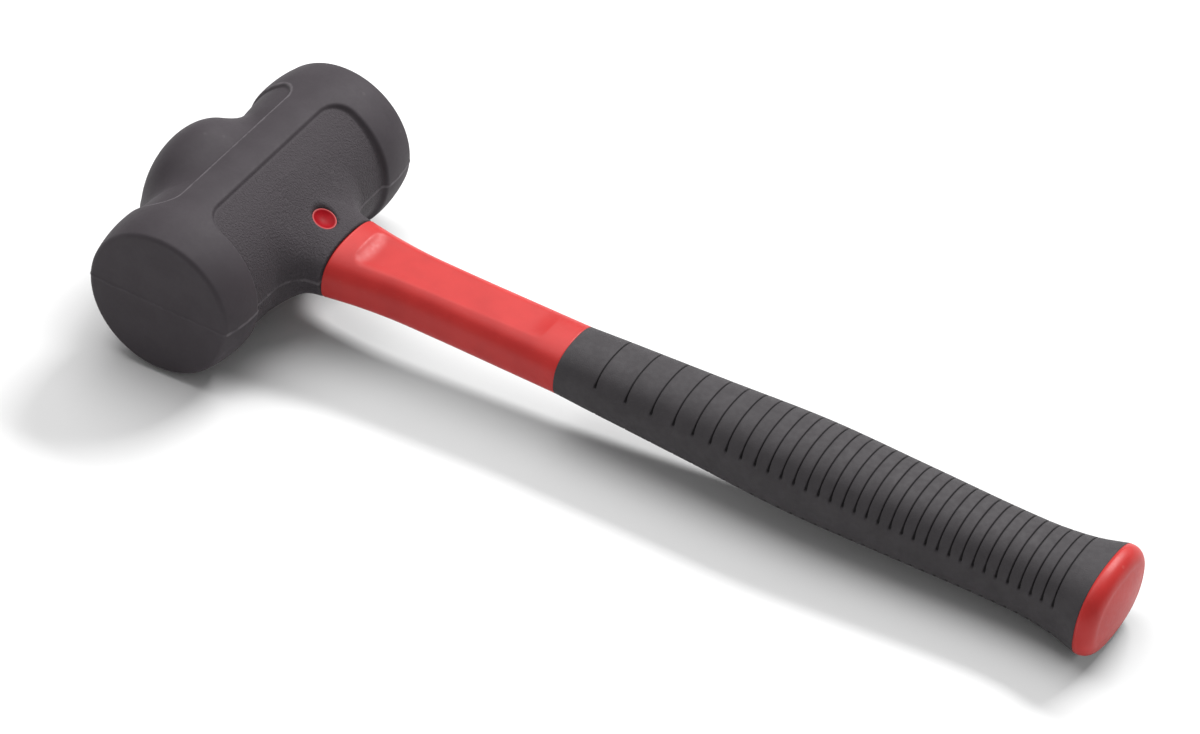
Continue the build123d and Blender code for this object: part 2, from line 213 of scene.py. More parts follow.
GROOVE_DEPTH = 0.6
GROOVE_STRIP_FIRST = 0.40     # plain side strip at each end of the grip, over the half height
GROOVE_STRIP_LAST = 0.20
GROOVE_STRIP_BELOW = 0.52
GROOVE_RUN_OUT = 0.07         # over which a groove ends, and where its widening fades
GROOVE_WIDE_FADE = (0.05, 0.3)
GROOVE_PROFILE = (0.3, 1.25)  # full depth and its end, over the half width
GROOVE_RINGS = (0.45, 0.9, 1.35, 2.0, 2.7, 3.6)   # beside its middle, over the half width
BUTT_EDGE = 5.0
BUTT_DOME = 1.3
BUTT_SEAT = (0.5, 0.05)       # insets of the two rings of its seat
AROUND = 192                  # points round the handle
SLEEVE_RINGS = 200
BORE_RINGS = 12


def between(stations, distance):
    """Section values at one or more distances, on a smooth curve through the stations."""
    table = np.array(stations)
    knots, values = table[:, 0], table[:, 1:]
    chords = np.diff(values, axis=0) / np.diff(knots)[:, None]
    slopes = np.vstack([chords[:1], (chords[1:] + chords[:-1]) / 2, chords[-1:]])
    i = np.clip(np.searchsorted(knots, distance) - 1, 0, len(knots) - 2)
    span = np.asarray(knots[i + 1] - knots[i])[..., None]
    t = np.asarray(distance - knots[i])[..., None] / span
    return ((2 * t**3 - 3 * t**2 + 1) * values[i] + (t**3 - 2 * t**2 + t) * span * slopes[i]
            + (3 * t**2 - 2 * t**3) * values[i + 1] + (t**3 - t**2) * span * slopes[i + 1])


# ---- Fields: distances in millimetres, negative inside ----

def round_union(a, b, radius):
    """Union of two fields, with a fillet in the corner between them."""
    fillet = np.hypot(np.maximum(radius - a, 0), np.maximum(radius - b, 0))
    return np.maximum(radius, np.minimum(a, b)) - fillet


def round_common(a, b, radius):
    """What two fields share, with its edge rounded."""
    rounding = np.hypot(np.maximum(radius + a, 0), np.maximum(radius + b, 0))
    return np.minimum(-radius, np.maximum(a, b)) + rounding


def oval_field(u, v, half_u, half_v, exponent=2.0):
    """Distance from a superellipse, near its outline."""
    across, up = np.abs(u) / half_u, np.abs(v) / half_v
    reach = (across**exponent + up**exponent) ** (1 / exponent) + 1e-9
    slope = np.hypot(across ** (exponent - 1) / half_u, up ** (exponent - 1) / half_v) + 1e-9
    return reach ** (exponent - 1) * (reach - 1) / slope


def smooth_step(low, high, value):
    share = np.clip((value - low) / (high - low), 0, 1)
    return share * share * (3 - 2 * share)


def recess_edges(x, y, z):
    """Distances along the barrel's surface from the panel and from the valley, negative in them."""
    along = FLANGE_RADIUS * np.arctan2(x, np.abs(z) + 1e-9)
    panel = round_common(PANEL_START - along, np.abs(y) - PANEL_HALF_LENGTH, PANEL_CORNER)
    valley = round_common(along + VALLEY_START, np.abs(y) - VALLEY_HALF_LENGTH, VALLEY_CORNER)
    return panel, valley


def jacket_field(x, y, z):
    """The head jacket: barrel, recesses, boss, neck, seam and hollows."""
    radius = np.hypot(x, z)
    reach = np.abs(y)
    # Barrel with its flanges; each falls away to a striking face.
    past_flange = np.clip((reach - FLANGE_Y) / (FACE_Y - FLANGE_Y), 0, 2)
    fall = (FLANGE_RADIUS - FACE_RADIUS) * past_flange**2
    rise = (FLANGE_RADIUS - BAND_RADIUS) * smooth_step(BAND_HALF_LENGTH, FLANGE_Y, reach)
    outer_radius = BAND_RADIUS + rise - fall
    barrel = round_common(radius - outer_radius, reach - FACE_Y, FACE_EDGE)
    # The band and the flanges are an outer layer that stops at the recesses.
    panel, valley = recess_edges(x, y, z)
    depth = outer_radius - radius
    panel_wall = -(panel + PANEL_DRAFT * depth) / math.hypot(1, PANEL_DRAFT)
    valley_wall = -(valley + VALLEY_DRAFT * depth) / math.hypot(1, VALLEY_DRAFT)
    layer = round_common(barrel, panel_wall, RIDGE_EDGE)
    layer = round_common(layer, valley_wall, RIDGE_EDGE)
    # Floors of the recesses, with the boss and the neck blended into them.
    valley_rise = VALLEY_RISE * smooth_step(VALLEY_RISE_START, VALLEY_HALF_LENGTH, reach)
    valley_radius = VALLEY_RADIUS + valley_rise
    floor_radius = valley_radius + (PANEL_RADIUS - valley_radius) * smooth_step(*FLOOR_CHANGE, x)
    body = round_common(radius - floor_radius, reach - FLANGE_Y - RIDGE_EDGE, RIDGE_EDGE)
    boss_depth = BOSS_CENTRE - BOSS_TIP
    across = np.hypot(y, z)
    boss = oval_field(x - BOSS_CENTRE, across, boss_depth, BOSS_RADIUS)
    body = round_union(body, boss, BOSS_BLEND)
    section = between(NECK_STATIONS, np.clip(x, NECK_STATIONS[0][0], NECK_END))
    roundness = ROUNDNESS_START + (ROUNDNESS - ROUNDNESS_START) * smooth_step(*NECK_TURNS, x)
    neck = oval_field(y, z, section[..., 0], section[..., 1], roundness)
    aside = smooth_step(*NECK_BLEND_CHANGE, reach / section[..., 0])
    neck_blend = NECK_BLEND_TOP + (NECK_BLEND_SIDE - NECK_BLEND_TOP) * aside
    body = round_union(body, np.maximum(neck, -x), neck_blend)
    body = round_common(body, x - NECK_END, NECK_EDGE)
    field = round_union(body, layer, RIDGE_EDGE)
    field = field - SEAM_HEIGHT * np.exp(-((z / SEAM_HALF_WIDTH) ** 2))
    # Dimples over the pin caps, and their bores, which lean towards the handle.
    along = (x - PIN_X) * math.sin(CAP_LEAN) + (np.abs(z) - CAP_HEIGHT) * math.cos(CAP_LEAN)
    across = (x - PIN_X) * math.cos(CAP_LEAN) - (np.abs(z) - CAP_HEIGHT) * math.sin(CAP_LEAN)
    bore = np.hypot(across, y) - CAP_RADIUS - CLEARANCE
    dimple = np.maximum((bore - DIMPLE_SLOPE * along) / math.hypot(1, DIMPLE_SLOPE), -along)
    field = round_common(field, -dimple, DIMPLE_EDGE)
    field = np.maximum(field, -np.maximum(bore, -CAP_THICKNESS - CLEARANCE - along))
    # Hollows for the canister, the socket, the nose of the sleeve and the cross pin.
    canister = np.maximum(radius - canister_high[0], reach - canister_high[1]) - CLEARANCE
    socket = oval_field(y, z, socket_high[1], socket_high[2]) - CLEARANCE
    nose = oval_field(y, z, NOSE_HALF_WIDTH, NOSE_HALF_HEIGHT, ROUNDNESS) - CLEARANCE
    pin = np.hypot(x - PIN_X, y) - (pin_high[1] + CLEARANCE)
    hollow = np.minimum(canister, np.maximum(socket, -x))
    hollow = np.minimum(hollow, np.maximum(nose, NOSE_START - x))
    hollow = np.minimum(hollow, np.maximum(pin, np.abs(z) - pin_high[2]))
    return np.maximum(field, -hollow)


# ---- Meshes ----

def surface_nets(field, start, step):
    """Quads round the inside of a sampled field; each cell that its surface crosses has a vertex."""
    inside = field < 0
    cells = tuple(n - 1 for n in field.shape)
    corners = [(i, j, k) for i in (0, 1) for j in (0, 1) for k in (0, 1)]

    def at(values, corner):
        return values[tuple(slice(c, c + n) for c, n in zip(corner, cells))]

    count = sum(at(inside, corner).astype(np.int8) for corner in corners)
    active = (count > 0) & (count < 8)
    place = np.argwhere(active)
    number = np.full(cells, -1, np.int64)
    number[active] = np.arange(len(place))
    total = np.zeros((len(place), 3))
    crossings = np.zeros((len(place), 1))
    for first in corners:
        for axis in range(3):
            if first[axis]:
                continue
            second = tuple(1 if i == axis else c for i, c in enumerate(first))
            low = at(field, first)[active]
            high = at(field, second)[active]
            crossed = (low < 0) != (high < 0)
            share = np.where(crossed, low / np.where(crossed, low - high, 1), 0)
            point = np.tile(np.array(first, float), (len(place), 1))
            point[:, axis] += share
            total += point * crossed[:, None]
            crossings += crossed[:, None]
    vertices = (place + total / crossings) * step + start
    faces = []
    for axis in range(3):
        u, v = (axis + 1) % 3, (axis + 2) % 3
        ahead = np.roll(inside, -1, axis)
        edge = inside != ahead
        for side in (u, v):
            last = field.shape[side] - 1
            outermost = np.isin(np.arange(last + 1), (0, last))
            edge = edge & ~outermost.reshape([-1 if i == side else 1 for i in range(3)])
        edge[tuple(-1 if i == axis else slice(None) for i in range(3))] = False
        spots = np.argwhere(edge)
        ring = []
        for du, dv in ((-1, -1), (0, -1), (0, 0), (-1, 0)):
            cell = spots.copy()
            cell[:, u] += du
            cell[:, v] += dv
            ring.append(number[cell[:, 0], cell[:, 1], cell[:, 2]])
        quads = np.stack(ring, 1)
        outward = inside[spots[:, 0], spots[:, 1], spots[:, 2]]
        quads[~outward] = quads[~outward][:, ::-1]
        faces.append(quads)
    return vertices, np.concatenate(faces)


def settle(points, field, rounds=3, nudge=0.02, longest=0.2):
    """Moves points onto the field's surface, along its gradient."""
    for _ in range(rounds):
        value = field(*points.T)
        slope = np.stack([
            field(*(points + step).T) - field(*(points - step).T) for step in nudge * np.eye(3)
        ], 1) / (2 * nudge)
        move = value[:, None] * slope / np.maximum((slope**2).sum(1, keepdims=True), 0.25)
        length = np.maximum(np.linalg.norm(move, axis=1, keepdims=True), 1e-9)
        points = points - move * np.minimum(1, longest / length)
    return points


def new_piece(name, points, faces, body, replaced):
    """A smooth-shaded mesh in the frame, which rides on a body and stands for a CAD node."""
    mesh = bpy.data.meshes.new(name)
    mesh.from_pydata(to_row(points).tolist(), [], [list(map(int, face)) for face in faces])
    mesh.validate()
    mesh.polygons.foreach_set("use_smooth", [True] * len(mesh.polygons))
    piece = bpy.data.objects.new(name, mesh)
    bpy.context.scene.collection.objects.link(piece)
    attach(piece, body)
    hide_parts(replaced)
    return piece


def paint(piece, name, values):
    """Stores one number per vertex, for the materials to read."""
    layer = piece.data.attributes.new(name, "FLOAT", "POINT")
    layer.data.foreach_set("value", np.asarray(values, np.float32))


def make_jacket(step):
    """The head jacket's mesh. The field is sampled in one quarter and mirrored."""
    half_y = FACE_Y + MARGIN
    half_z = FLANGE_RADIUS + MARGIN
    xs = np.arange(BOSS_TIP - MARGIN, NECK_END + MARGIN, step)
    ys = (np.arange(int(half_y / step) + 1) + 0.5) * step
    zs = (np.arange(int(half_z / step) + 1) + 0.5) * step
    quarter = jacket_field(*np.meshgrid(xs, ys, zs, indexing="ij"))
    half = np.concatenate([quarter[:, ::-1], quarter], 1)
    whole = np.concatenate([half[:, :, ::-1], half], 2)
    points, faces = surface_nets(whole, np.array([xs[0], -ys[-1], -zs[-1]]), step)
    points = settle(points, jacket_field)
    piece = new_piece("jacket_moulding", points, faces, "mallet", "head_jacket")
    panel, valley = recess_edges(*points.T)
    depth = BAND_RADIUS - np.hypot(points[:, 0], points[:, 2])
    paint(piece, "grain", smooth_step(*GRAIN_FADE, -panel))
    # Painted highlight along the seam, weaker on the striking faces, and just outside the valley's
    # edge, fading with depth below the band.
    on_face = smooth_step(FACE_Y - 1, FACE_Y - 0.3, np.abs(points[:, 1]))
    seam = np.exp(-((points[:, 2] / HIGHLIGHT_HALF_WIDTH) ** 2)) * (1 - (1 - HIGHLIGHT_ON_FACE) * on_face)
    ridge_highlight = np.exp(-(((valley - HIGHLIGHT_OFFSET) / HIGHLIGHT_HALF_WIDTH) ** 2)) * smooth_step(*HIGHLIGHT_FADE, depth)
    paint(piece, "painted_highlight", np.maximum(seam, ridge_highlight))
    return piece


def oval_ring(distance, half_width, half_height, exponent):
    """Points of a superellipse square to the handle, at even angles."""
    turn = 2 * np.pi * np.arange(AROUND) / AROUND
    across = np.abs(np.cos(turn)) / half_width
    up = np.abs(np.sin(turn)) / half_height
    reach = (across**exponent + up**exponent) ** (-1 / exponent)
    return np.stack([np.full(AROUND, distance), reach * np.cos(turn), reach * np.sin(turn)], 1)


def ring_faces(count, closed):
    """Quads between rings; a closed stack joins its last ring to its first."""
    faces = []
    for i in range(count if closed else count - 1):
        ahead = (i + 1) % count
        for j in range(AROUND):
            k = (j + 1) % AROUND
            faces.append((i * AROUND + j, i * AROUND + k, ahead * AROUND + k, ahead * AROUND + j))
    return faces


def tube_piece(name, rings, replaced):
    """A closed tube: rings along the outside, then back through the bore."""
    faces = ring_faces(len(rings), True)
    return new_piece(name, np.concatenate(rings), faces, "mallet", replaced)


def label_panel(ring):
    """Presses the flat, soft-edged label panels into a ring of the sleeve, above and below."""
    x, y, z = ring.T
    share = np.clip((x - LABEL_START) / (LABEL_END - LABEL_START), 0, 1)
    floor = LABEL_FLOOR_START + share * (LABEL_FLOOR_END - LABEL_FLOOR_START)
    middle = (LABEL_START + LABEL_END) / 2
    edge = round_common(np.abs(x - middle) - (LABEL_END - LABEL_START) / 2,
                        np.abs(y) - LABEL_HALF_WIDTH, LABEL_CORNER)
    pressed = 1 - (1 - np.clip(-edge / LABEL_WALL, 0, 1)) ** 2
    over = np.abs(z) - floor
    cut = np.where(over > -LABEL_EDGE, (over + LABEL_EDGE) ** 2 / (4 * LABEL_EDGE), 0)
    cut = np.where(over > LABEL_EDGE, over, cut)
    ring = ring.copy()
    ring[:, 2] -= np.sign(z) * cut * pressed
    return ring


def make_sleeve():
    """The red moulding: its outside, the step under the grip, and its bores."""
    nose = (NOSE_HALF_WIDTH, NOSE_HALF_HEIGHT, ROUNDNESS)
    start = NECK_END + SLEEVE_GAP
    rings = [oval_ring(distance, *nose) for distance in (NOSE_START, start - 0.05)]
    for turn in np.linspace(0, np.pi / 2, 5):
        inset = NECK_EDGE * (1 - math.sin(turn))
        half_width, half_height, exponent = between(SLEEVE_STATIONS, start)
        distance = start + NECK_EDGE * (1 - math.cos(turn))
        rings.append(oval_ring(distance, half_width - inset, half_height - inset, exponent))
    for distance in np.linspace(start + NECK_EDGE + 0.1, GRIP_START, SLEEVE_RINGS):
        rings.append(label_panel(oval_ring(distance, *between(SLEEVE_STATIONS, distance))))
    inner = (INNER_HALF_WIDTH, INNER_HALF_HEIGHT, ROUNDNESS)
    for distance in np.linspace(GRIP_START, GRIP_END, BORE_RINGS):
        rings.append(oval_ring(distance, *inner))
    core = (CORE_HALF_WIDTH + CLEARANCE, CORE_HALF_HEIGHT + CLEARANCE, 2)
    socket = (socket_high[1] + CLEARANCE, socket_high[2] + CLEARANCE, 2)
    for distance in np.linspace(GRIP_END, socket_high[0], BORE_RINGS):
        rings.append(oval_ring(distance, *core))
    for distance in (socket_high[0], NOSE_START):
        rings.append(oval_ring(distance, *socket))
    return tube_piece("sleeve_moulding", rings, "handle_sleeve")


def groove_places():
    """Distances of the grooves: the pitch falls quickly, then stays even."""
    places = [GROOVE_FIRST]
    for i in range(GROOVE_COUNT - 1):
        extra = (GROOVE_WIDE_PITCH - GROOVE_PITCH) * 0.5 ** (i / GROOVE_HALVING)
        places.append(places[-1] + GROOVE_PITCH + extra)
    return places


def make_grip():
    """The black overmoulding, with its grooves cut into the rings."""
    grooves = np.array(groove_places())
    side = np.array(GROOVE_RINGS)
    profile = np.concatenate([-side[::-1], [0], side]) * GROOVE_HALF_WIDTH
    distances = np.unique(np.concatenate([
        (grooves[:, None] + profile).ravel(),
        GRIP_START + np.array([0.05, 0.3, 1.0]),
        np.linspace(GRIP_START, grooves[0] - 1.2, 16),
        np.linspace(grooves[-1] + 1, GRIP_END, 24),
    ] + [np.linspace(a + 1, b - 1, 5) for a, b in zip(grooves, grooves[1:]) if b - a > 3]))
    rings = []
    sunk = []
    for distance in distances:
        half_width, half_height, exponent = between(GRIP_STATIONS, distance)
        ring = oval_ring(distance, half_width, half_height, exponent)
        nearest = np.abs(grooves - distance).min()
        share = (distance - grooves[0]) / (grooves[-1] - grooves[0])
        strip = GROOVE_STRIP_FIRST + (GROOVE_STRIP_LAST - GROOVE_STRIP_FIRST) * share
        strip = np.where(ring[:, 2] > 0, strip, GROOVE_STRIP_BELOW)
        height = np.abs(ring[:, 2]) / half_height
        ends = smooth_step(strip, strip + GROOVE_RUN_OUT, height)
        fade_start, fade_end = GROOVE_WIDE_FADE
        inward = smooth_step(strip + fade_start, strip + fade_end, height)
        widening = 1 + GROOVE_END_WIDENING * (1 - inward)
        shape = 1 - smooth_step(*GROOVE_PROFILE, nearest / (GROOVE_HALF_WIDTH * widening))
        depth = GROOVE_DEPTH * shape * ends * widening**0.5
        outward = ring[:, 1:] / np.linalg.norm(ring[:, 1:], axis=1, keepdims=True)
        ring[:, 1:] -= outward * depth[:, None]
        rings.append(ring)
        sunk.append(shape * ends)
    inner = (INNER_HALF_WIDTH + CLEARANCE, INNER_HALF_HEIGHT + CLEARANCE, ROUNDNESS)
    for distance in np.linspace(GRIP_END, GRIP_START, BORE_RINGS):
        rings.append(oval_ring(distance, *inner))
        sunk.append(np.zeros(AROUND))
    piece = tube_piece("grip_moulding", rings, "grip")
    # The groove mask, which the grip's material darkens as painted shade.
    paint(piece, "groove_shade", np.concatenate(sunk))
    return piece


def make_butt():
    """The end cap: spigot, seat, rounded edge and slightly domed end."""
    rings = []
    for distance in np.linspace(butt_low[0], GRIP_END, 6):
        rings.append(oval_ring(distance, CORE_HALF_WIDTH, CORE_HALF_HEIGHT, 2))
    for inset in BUTT_SEAT:
        rings.append(oval_ring(GRIP_END, BUTT_HALF_WIDTH - inset, BUTT_HALF_HEIGHT - inset, ROUNDNESS))
    straight = BUTT_END - GRIP_END - BUTT_EDGE
    for turn in np.linspace(0, np.pi / 2, 24):
        inset = BUTT_EDGE * (1 - np.cos(turn))
        distance = GRIP_END + straight + BUTT_EDGE * np.sin(turn)
        rings.append(oval_ring(distance, BUTT_HALF_WIDTH - inset, BUTT_HALF_HEIGHT - inset, ROUNDNESS))
    width, height = BUTT_HALF_WIDTH - BUTT_EDGE, BUTT_HALF_HEIGHT - BUTT_EDGE
    for share in np.linspace(1, 0, 14)[1:-1]:
        distance = BUTT_END + BUTT_DOME * (1 - share**2)
        rings.append(oval_ring(distance, width * share, height * share, ROUNDNESS))
    faces = ring_faces(len(rings), False)
    points = np.concatenate(rings + [[[butt_low[0], 0, 0]], [[BUTT_END + BUTT_DOME, 0, 0]]])
    first, last = len(points) - 2, len(points) - 1
    top = (len(rings) - 1) * AROUND
    for j in range(AROUND):
        k = (j + 1) % AROUND
        faces.append((first, k, j))
        faces.append((last, top + j, top + k))
    return new_piece("butt_moulding", points, faces, "mallet", "butt_cap")


# ---- Materials ----

class Shader:
    """A few short ways to add nodes to one material."""

    def __init__(self, name):
        self.material = bpy.data.materials.new(name)
        self.material.use_nodes = True
        self.tree = self.material.node_tree
        self.surface = self.tree.nodes["Principled BSDF"]
        self.place = self.tree.nodes.new("ShaderNodeTexCoord").outputs["Object"]

    def link(self, source, target):
        self.tree.links.new(source, target)

    def noise(self, size, detail=2.0, roughness=0.5, stretch=None):
        """Noise with grains of a size in millimetres."""
        node = self.tree.nodes.new("ShaderNodeTexNoise")
        node.inputs["Scale"].default_value = 1 / (size * MM)
        node.inputs["Detail"].default_value = detail
        node.inputs["Roughness"].default_value = roughness
        source = self.place
        if stretch:
            mapping = self.tree.nodes.new("ShaderNodeMapping")
            mapping.inputs["Scale"].default_value = stretch
            self.link(source, mapping.inputs["Vector"])
            source = mapping.outputs["Vector"]
        self.link(source, node.inputs["Vector"])
        return node.outputs["Fac"]

    def attribute(self, name):
        node = self.tree.nodes.new("ShaderNodeAttribute")
        node.attribute_name = name
        return node.outputs["Fac"]

    def edges(self):
        """Pointiness: about a half on a flat surface, and more on an outer edge."""
        return self.tree.nodes.new("ShaderNodeNewGeometry").outputs["Pointiness"]

    def ramp(self, source, low, high, start=0.0, end=1.0):
        """The source, stretched from low..high to start..end and kept inside them."""
        node = self.tree.nodes.new("ShaderNodeMapRange")
        node.interpolation_type = "SMOOTHSTEP"
        limits = {"From Min": low, "From Max": high, "To Min": start, "To Max": end}
        for name, value in limits.items():
            node.inputs[name].default_value = value
        self.link(source, node.inputs["Value"])
        return node.outputs["Result"]

    def math(self, operation, a, b):
        node = self.tree.nodes.new("ShaderNodeMath")
        node.operation = operation
        for socket, value in zip(node.inputs, (a, b)):
            if isinstance(value, (int, float)):
                socket.default_value = value
            else:
                self.link(value, socket)
        return node.outputs[0]

    def vector_math(self, operation, a, b=None):
        """A vector sum on a socket, with a fixed second vector; returns the node."""
        node = self.tree.nodes.new("ShaderNodeVectorMath")
        node.operation = operation
        self.link(a, node.inputs[0])
        if b is not None:
            node.inputs[1].default_value = b
        return node

    def mix(self, share, a, b):
        """Colour a to colour b by a share; each is a colour or a socket."""
        node = self.tree.nodes.new("ShaderNodeMix")
        node.data_type = "RGBA"
        self.link(share, node.inputs["Factor"])
        sockets = [socket for socket in node.inputs if socket.type == "RGBA"]
        for socket, value in zip(sockets, (a, b)):
            if isinstance(value, tuple):
                socket.default_value = (*value, 1)
            else:
                self.link(value, socket)
        return next(socket for socket in node.outputs if socket.type == "RGBA")

    def bump(self, height, distance, strength=1.0, under=None):
        """Bump from a height; distance is its size in millimetres."""
        node = self.tree.nodes.new("ShaderNodeBump")
        node.inputs["Distance"].default_value = distance * MM
        node.inputs["Strength"].default_value = strength
        self.link(height, node.inputs["Height"])
        if under:
            self.link(under, node.inputs["Normal"])
        return node.outputs["Normal"]

    def finish(self, colour, roughness, normal):
        self.link(colour, self.surface.inputs["Base Color"])
        self.link(roughness, self.surface.inputs["Roughness"])
        self.link(normal, self.surface.inputs["Normal"])
        return self.material

    def set(self, **values):
        """Uniform values, set on the shader's own sockets."""
        for name, value in values.items():
            self.surface.inputs[name.replace("_", " ")].default_value = value


def black_rubber():
    """Matte moulded rubber: warm grey-black, grained in the panels with a painted sheen on the grain,
    paler on convex edges, with a painted highlight along the seam and the valley's edge.
    """
    shader = Shader("black_rubber")
    mottle = shader.ramp(shader.noise(9.0, 3.0), 0.3, 0.7)
    colour = shader.mix(mottle, (0.049, 0.0415, 0.0475), (0.055, 0.047, 0.0535))
    # Paler over the grained panel: a painted sheen.
    colour = shader.mix(shader.attribute("grain"), colour, (0.060, 0.0515, 0.058))
    # Paler on convex edges, found from pointiness.
    convex_edges = shader.ramp(shader.edges(), 0.52, 0.60, 0.0, 0.4)
    colour = shader.mix(convex_edges, colour, (0.080, 0.071, 0.077))
    # Painted highlight along the seam and the valley's edge, broken up by noise.
    broken = shader.ramp(shader.noise(4.0, 3.0), 0.3, 0.65, 0.55, 1.0)
    painted_highlight = shader.math("MULTIPLY", shader.attribute("painted_highlight"), broken)
    painted_highlight = shader.ramp(painted_highlight, 0.2, 0.9, 0.0, 0.9)
    colour = shader.mix(painted_highlight, colour, (0.132, 0.119, 0.129))
    roughness = shader.ramp(shader.noise(1.2, 3.0), 0.3, 0.7, 0.63, 0.68)
    fine = shader.bump(shader.noise(0.25, 2.0), 0.04, 0.5)
    grain = shader.math("MULTIPLY", shader.noise(0.7, 3.0, 0.65), shader.attribute("grain"))
    normal = shader.bump(grain, 0.65, 1.0, fine)
    shader.set(Specular_IOR_Level=0.24)
    return shader.finish(colour, roughness, normal)


def grip_rubber():
    """Soft-touch grip: a little greyer, finely matte, with painted shade in its grooves."""
    shader = Shader("grip_rubber")
    mottle = shader.ramp(shader.noise(7.0, 3.0), 0.3, 0.7)
    colour = shader.mix(mottle, (0.046, 0.0415, 0.045), (0.054, 0.049, 0.053))
    speck = shader.ramp(shader.noise(0.5, 2.0), 0.6, 0.75, 0.0, 0.3)
    colour = shader.mix(speck, colour, (0.085, 0.080, 0.085))
    # Near-black in the grooves: painted shade.
    groove_shade = shader.ramp(shader.attribute("groove_shade"), 0.2, 0.9)
    colour = shader.mix(groove_shade, colour, (0.012, 0.011, 0.012))
    roughness = shader.ramp(shader.noise(2.0, 3.0), 0.3, 0.7, 0.6, 0.72)
    normal = shader.bump(shader.noise(0.4, 3.0, 0.6), 0.13, 0.7)
    shader.set(Specular_IOR_Level=0.3)
    return shader.finish(colour, roughness, normal)


def red_plastic():
    """Satin moulded plastic with a faint orange-peel skin."""
    shader = Shader("red_plastic")
    mottle = shader.ramp(shader.noise(12.0, 3.0), 0.3, 0.7)
    colour = shader.mix(mottle, (0.52, 0.027, 0.025), (0.58, 0.033, 0.030))
    scuff = shader.ramp(shader.noise(0.8, 4.0, 0.7, (0.25, 1, 1)), 0.62, 0.72, 0.0, 0.12)
    colour = shader.mix(scuff, colour, (0.62, 0.16, 0.15))
    # Paler on convex edges, found from pointiness.
    convex_edges = shader.ramp(shader.edges(), 0.53, 0.62, 0.0, 0.25)
    colour = shader.mix(convex_edges, colour, (0.64, 0.16, 0.15))
    roughness = shader.ramp(shader.noise(1.5, 4.0), 0.3, 0.7, 0.40, 0.46)
    normal = shader.bump(shader.noise(0.6, 2.0), 0.03, 0.6)
    shader.set(Specular_IOR_Level=0.30)
    return shader.finish(colour, roughness, normal)


def cap_plastic(name, side):
    """Deep red pin cap with a painted highlight round its edge; where it falls is found from the
    distance to the cap's axis.
    """
    shader = Shader(name)
    middle = to_row(np.array([PIN_X, 0, side * CAP_HEIGHT]))
    axis = tool_turn @ np.array([math.sin(CAP_LEAN), 0, side * math.cos(CAP_LEAN)])
    offset = shader.vector_math("SUBTRACT", shader.place, middle).outputs["Vector"]
    square = shader.vector_math("CROSS_PRODUCT", offset, axis).outputs["Vector"]
    reach = shader.vector_math("LENGTH", square).outputs["Value"]
    mottle = shader.ramp(shader.noise(3.0, 3.0), 0.3, 0.7)
    colour = shader.mix(mottle, (0.27, 0.003, 0.007), (0.33, 0.004, 0.010))
    # Paler ring round the dish: a painted highlight.
    rim_highlight = shader.ramp(reach, CAP_DISH_RADIUS * CAP_HIGHLIGHT_START * MM, CAP_RADIUS * MM, 0.0, 0.7)
    colour = shader.mix(rim_highlight, colour, (0.62, 0.13, 0.13))
    roughness = shader.ramp(shader.noise(1.5, 4.0), 0.3, 0.7, 0.42, 0.50)
    normal = shader.bump(shader.noise(0.4, 2.0), 0.03, 0.6)
    shader.set(Specular_IOR_Level=0.08)
    return shader.finish(colour, roughness, normal)


def steel(name, deep, light, rough_low, rough_high, stretch):
    """Drawn or tumbled steel, with its brush marks along one direction."""
    shader = Shader(name)
    marks = shader.noise(0.5, 4.0, 0.6, stretch)
    colour = shader.mix(shader.ramp(marks, 0.35, 0.65), deep, light)
    stain = shader.ramp(shader.noise(6.0, 3.0), 0.55, 0.75, 0.0, 0.4)
    colour = shader.mix(stain, colour, (0.22, 0.18, 0.14))
    roughness = shader.ramp(marks, 0.3, 0.7, rough_low, rough_high)
    normal = shader.bump(marks, 0.02, 0.5)
    shader.set(Metallic=1.0)
    return shader.finish(colour, roughness, normal)


def glass_fibre():
    """Pultruded rod: pale resin with long strands."""
    shader = Shader("glass_fibre")
    strands = shader.noise(0.4, 3.0, 0.6, (0.03, 1, 1))
    colour = shader.mix(shader.ramp(strands, 0.35, 0.65), (0.55, 0.50, 0.30), (0.78, 0.74, 0.55))
    roughness = shader.ramp(strands, 0.3, 0.7, 0.25, 0.4)
    normal = shader.bump(strands, 0.03, 0.6)
    return shader.finish(colour, roughness, normal)


def dress(piece, material):
    piece.data.materials.clear()
    piece.data.materials.append(material)


# ---- Stage, light and camera ----

FLOOR_SIZE = 6.0
VIEW_AZIMUTH = 27.7           # degrees
VIEW_ELEVATION = 39.2
VIEW_ROLL = 4.1
VIEW_DISTANCE = 1.95
VIEW_LENS = 183.8             # mm, on a 36 mm sensor
AIM_OFFSET = Vector((-0.0078, -0.0033, 0.0))   # from the middle of the box
WORLD_STRENGTH = 0.30
LIGHTS = [                    # (name, azimuth, elevation, distance, width, height, watts)
    ("key", 83.0, 45.5, 1.7, 0.8, 0.25, 24.5),
    ("overhead", 150.0, 70.0, 1.6, 1.5, 1.5, 18),
]


def make_floor():
    shader = Shader("floor_paper")
    mottle = shader.ramp(shader.noise(90.0, 2.0), 0.3, 0.7)
    colour = shader.mix(mottle, (0.88, 0.88, 0.88), (0.9, 0.9, 0.9))
    shader.link(colour, shader.surface.inputs["Base Color"])
    shader.set(Roughness=0.9, Specular_IOR_Level=0.1)
    mesh = bpy.data.meshes.new("floor")
    half = FLOOR_SIZE / 2
    corners = [(-half, -half, 0), (half, -half, 0), (half, half, 0), (-half, half, 0)]
    mesh.from_pydata(corners, [], [(0, 1, 2, 3)])
    floor = bpy.data.objects.new("floor", mesh)
    bpy.context.scene.collection.objects.link(floor)
    dress(floor, shader.material)


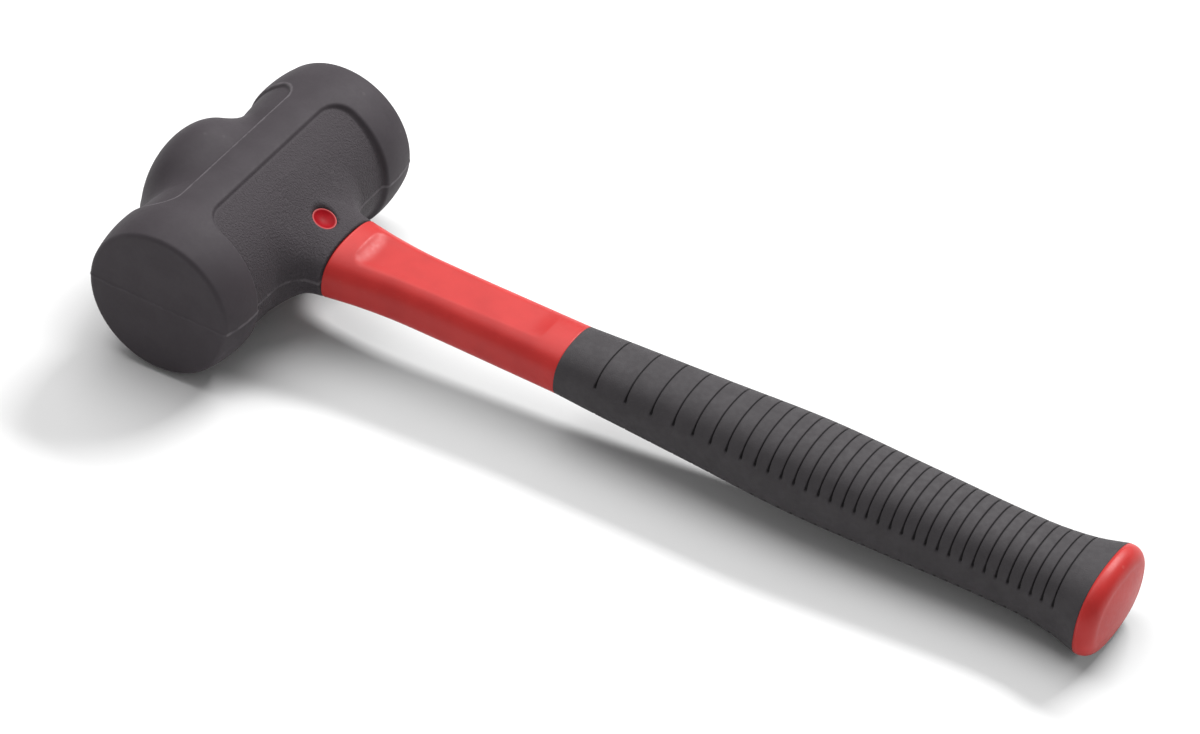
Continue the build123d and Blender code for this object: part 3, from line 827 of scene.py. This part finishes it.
def make_light(name, azimuth, elevation, distance, width, height, power):
    """A soft light that faces the middle of the mallet; angles in degrees."""
    turn, rise = math.radians(azimuth), math.radians(elevation)
    level = math.cos(rise)
    place = Vector((level * math.cos(turn), level * math.sin(turn), math.sin(rise)))
    data = bpy.data.lights.new(name, "AREA")
    data.shape = "RECTANGLE"
    data.size = width
    data.size_y = height
    data.energy = power
    light = bpy.data.objects.new(name, data)
    light.location = place * distance
    light.rotation_euler = (-place).to_track_quat("-Z", "Y").to_euler()
    bpy.context.scene.collection.objects.link(light)


def make_camera():
    azimuth, elevation, roll = map(math.radians, (VIEW_AZIMUTH, VIEW_ELEVATION, VIEW_ROLL))
    back = Vector((math.sin(azimuth) * math.cos(elevation), -math.cos(azimuth) * math.cos(elevation),
                   math.sin(elevation)))
    level = Vector((math.cos(azimuth), math.sin(azimuth), 0))
    right = level * math.cos(roll) + back.cross(level) * math.sin(roll)
    up = back.cross(right)
    data = bpy.data.cameras.new("camera")
    data.lens = VIEW_LENS
    data.clip_end = 20
    camera = bpy.data.objects.new("camera", data)
    aim = (Vector(cad_box[0]) + Vector(cad_box[1])) / 2 + AIM_OFFSET
    camera.matrix_world = Matrix.Translation(aim + back * VIEW_DISTANCE) @ Matrix(
        (right, up, back)).transposed().to_4x4()
    bpy.context.scene.collection.objects.link(camera)
    bpy.context.scene.camera = camera


def light_scene():
    scene = bpy.context.scene
    scene.view_settings.view_transform = "Standard"
    world = bpy.data.worlds.new("studio")
    world.use_nodes = True
    background = world.node_tree.nodes["Background"]
    background.inputs["Color"].default_value = (1, 1, 1, 1)
    background.inputs["Strength"].default_value = WORLD_STRENGTH
    scene.world = world
    for light in LIGHTS:
        make_light(*light)


make_floor()
make_camera()
light_scene()

jacket = make_jacket(JACKET_STEP)
sleeve = make_sleeve()
grip = make_grip()
butt = make_butt()

rubber = black_rubber()
red = red_plastic()
canister_steel = steel(
    "canister_steel", (0.40, 0.40, 0.42), (0.56, 0.56, 0.58), 0.28, 0.45, (0.1, 1, 1))
shot_steel = steel("shot_steel", (0.30, 0.30, 0.32), (0.42, 0.42, 0.44), 0.3, 0.5, (1, 1, 1))
for piece in (sleeve, butt, frame["nodes"]["handle_core"]):
    piece.visible_diffuse = False     # keeps their colour off the white floor
dress(jacket, rubber)
dress(grip, grip_rubber())
dress(sleeve, red)
dress(butt, red)
dress(frame["nodes"]["upper_pin_cap"], cap_plastic("upper_cap_red", 1))
dress(frame["nodes"]["lower_pin_cap"], cap_plastic("lower_cap_red", -1))
steel_nodes = ("canister_tube", "near_canister_disc", "far_canister_disc", "handle_socket", "cross_pin")
for node in steel_nodes:
    dress(frame["nodes"][node], canister_steel)
dress(frame["nodes"]["steel_shot"], shot_steel)
dress(frame["nodes"]["handle_core"], glass_fibre())
